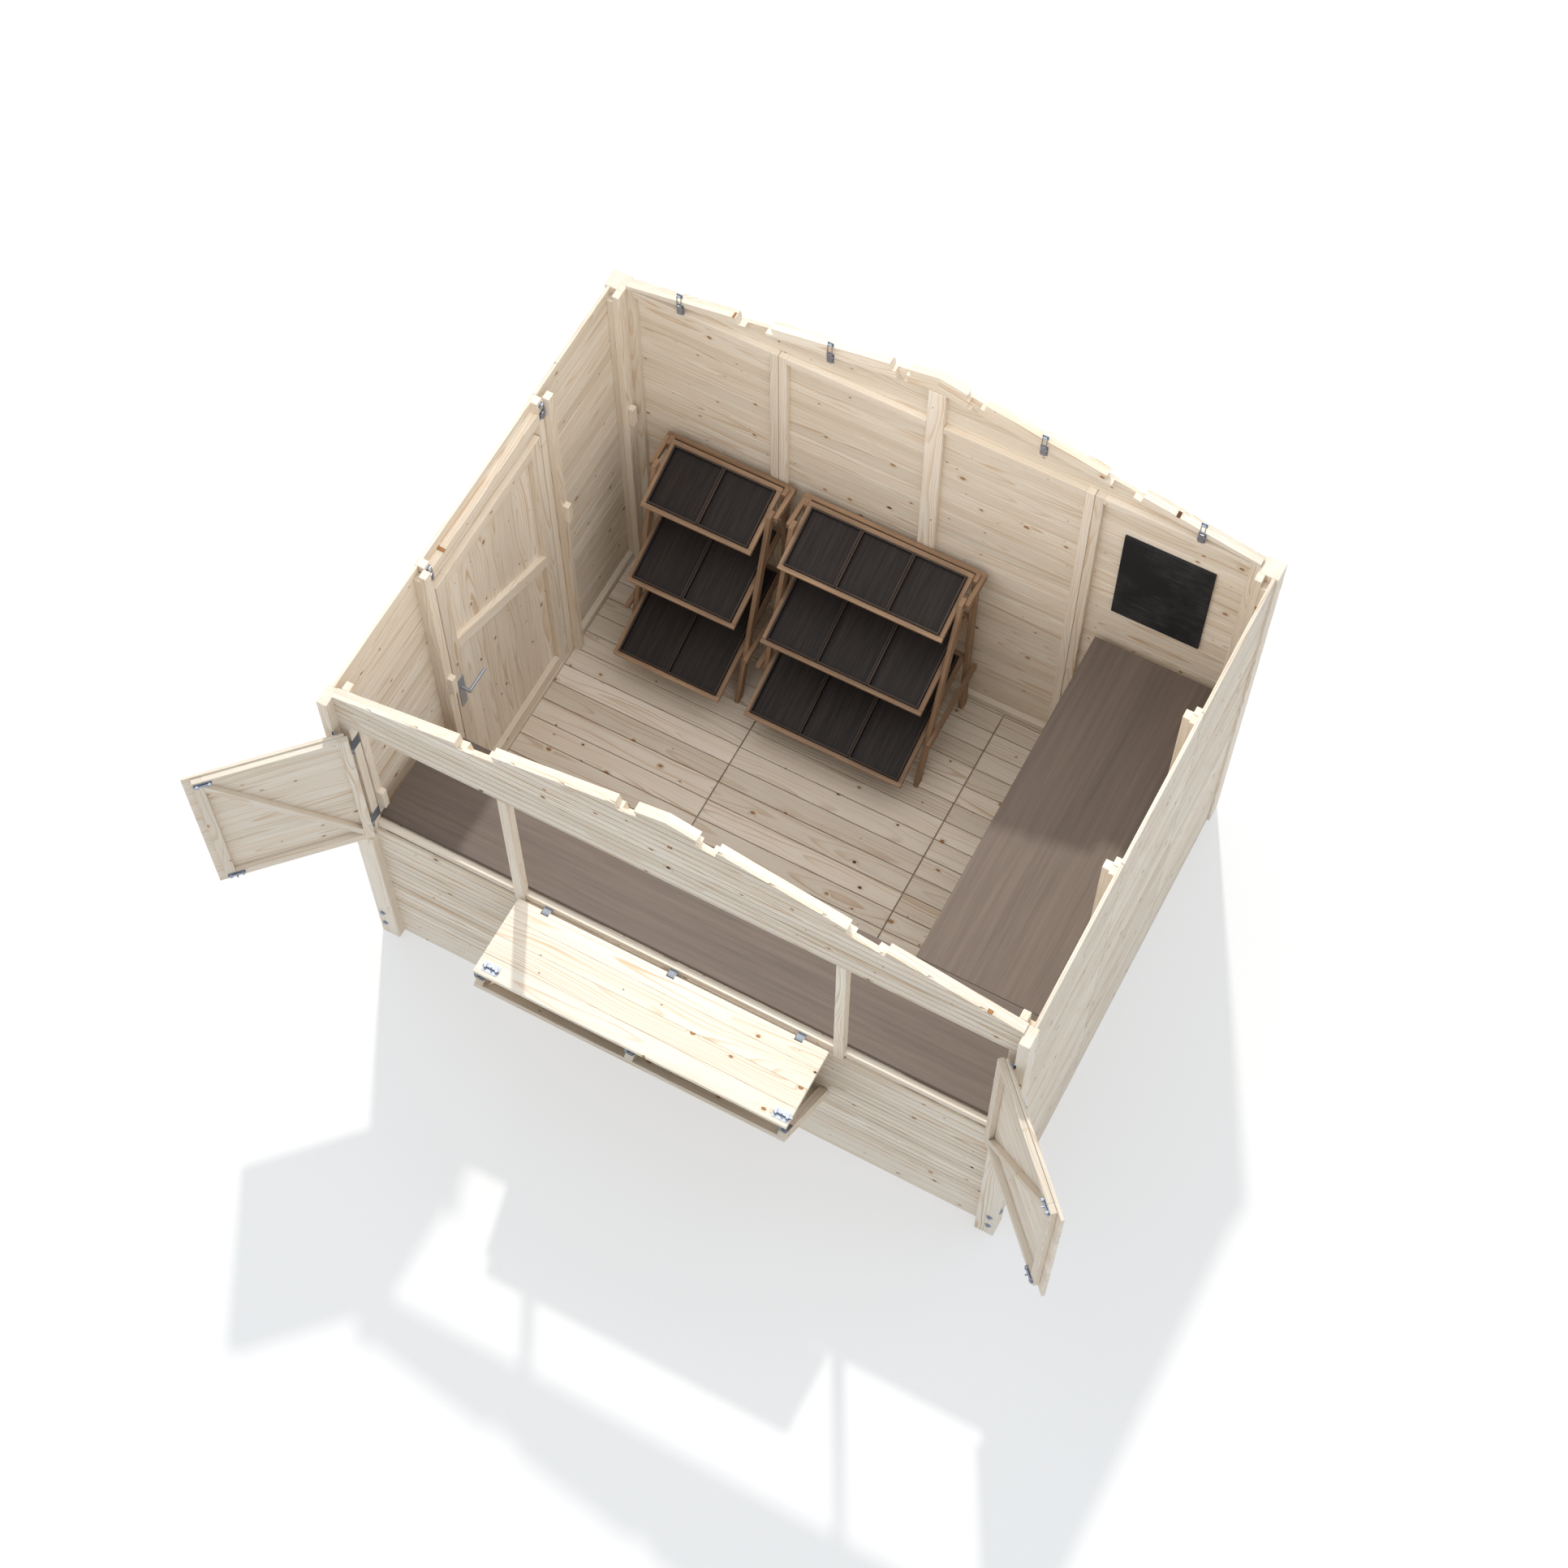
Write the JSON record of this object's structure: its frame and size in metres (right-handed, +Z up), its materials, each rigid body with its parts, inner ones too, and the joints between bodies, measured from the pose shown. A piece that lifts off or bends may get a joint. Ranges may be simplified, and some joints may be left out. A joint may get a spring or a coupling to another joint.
{
  "type": "wooden market stall",
  "caption": "Timber market stall kit without its roof: boarded walls, floor, hinged side door, window shutters and folding front counter, with worktop, bread racks and blackboard.",
  "frame": {"origin": "middle of the walls' footprint, on the ground", "axes": "+X along the serving front to the viewer's right, +Y from the serving front to the back wall, +Z up"},
  "size_m": [3.7376, 2.7409, 2.4068],
  "materials": {
    "blackboard_face": "matt",
    "dark_tray_wood": "stained",
    "floor_boards": "planed, unpainted",
    "pale_spruce": "planed, unpainted",
    "rack_wood": "oiled",
    "worktop_board": "satin",
    "zinc_fittings": "zinc plated"
  },
  "bodies": {
    "stall": {"back_centre_batten": "pale_spruce", "back_gable_cladding": "pale_spruce", "back_gable_planks": "pale_spruce", "back_wall_left_middle_panel": "pale_spruce", "back_wall_left_panel": "pale_spruce", "back_wall_right_middle_panel": "pale_spruce", "back_wall_right_panel": "pale_spruce", "blackboard": "blackboard_face", "bread_rack_large_shelves": "rack_wood", "bread_rack_large_sides": "rack_wood", "bread_rack_large_trays": "dark_tray_wood", "bread_rack_small_shelves": "rack_wood", "bread_rack_small_sides": "rack_wood", "bread_rack_small_trays": "dark_tray_wood", "corner_post_back_left": "pale_spruce", "corner_post_back_right": "pale_spruce", "corner_post_front_left": "pale_spruce", "corner_post_front_right": "pale_spruce", "door_frame": "pale_spruce", "floor_bearers": "floor_boards", "floor_panel_left": "floor_boards", "floor_panel_middle": "floor_boards", "floor_panel_right": "floor_boards", "frame_hinges": "zinc_fittings", "front_apron_panel": "pale_spruce", "front_gable_cladding": "pale_spruce", "front_gable_planks": "pale_spruce", "front_sill": "pale_spruce", "left_wall_front_panel": "pale_spruce", "left_wall_over_door": "pale_spruce", "left_wall_rear_panel": "pale_spruce", "right_wall_front_panel": "pale_spruce", "right_wall_middle_panel": "pale_spruce", "right_wall_rear_panel": "pale_spruce", "wall_joining_posts": "pale_spruce", "window_posts": "pale_spruce", "worktop_front": "worktop_board", "worktop_legs": "worktop_board", "worktop_side": "worktop_board"},
    "side_door_leaf": {"side_door": "pale_spruce", "side_door_handle": "zinc_fittings", "side_door_hinges": "zinc_fittings"},
    "left_shutter_leaf": {"left_shutter": "pale_spruce", "left_shutter_hinges": "zinc_fittings"},
    "right_shutter_leaf": {"right_shutter": "pale_spruce", "right_shutter_hinges": "zinc_fittings"},
    "counter_leaf": {"counter_board": "pale_spruce", "counter_board_hinges": "zinc_fittings"},
    "support_leaf": {"counter_support": "pale_spruce", "counter_support_hinges": "zinc_fittings"}
  },
  "joints": [
    {"name": "side_door_hinge", "type": "hinge", "parent": "stall", "child": "side_door_leaf", "pos_m": [-1.494, 0.412, 1], "axis": [0, 0, -1], "range_deg": [0, 105]},
    {"name": "left_shutter_hinge", "type": "hinge", "parent": "stall", "child": "left_shutter_leaf", "pos_m": [-1.403, -1.1235, 1.4], "axis": [0, 0, 1], "range_deg": [0, 134]},
    {"name": "right_shutter_hinge", "type": "hinge", "parent": "stall", "child": "right_shutter_leaf", "pos_m": [1.403, -1.1235, 1.4], "axis": [0, 0, -1], "range_deg": [0, 134]},
    {"name": "counter_board_hinge", "type": "hinge", "parent": "stall", "child": "counter_leaf", "pos_m": [-0.02, -1.1185, 1.029], "axis": [-1, 0, 0], "range_deg": [0, 90]},
    {"name": "counter_support_hinge", "type": "hinge", "parent": "counter_leaf", "child": "support_leaf", "pos_m": [-0.02, -1.4585, 0.977], "axis": [-1, 0, 0], "range_deg": [0, 136]}
  ],
  "couplings": [
    {"joint": "counter_support_hinge", "follows": "counter_board_hinge", "ratio": 1.5111}
  ]
}
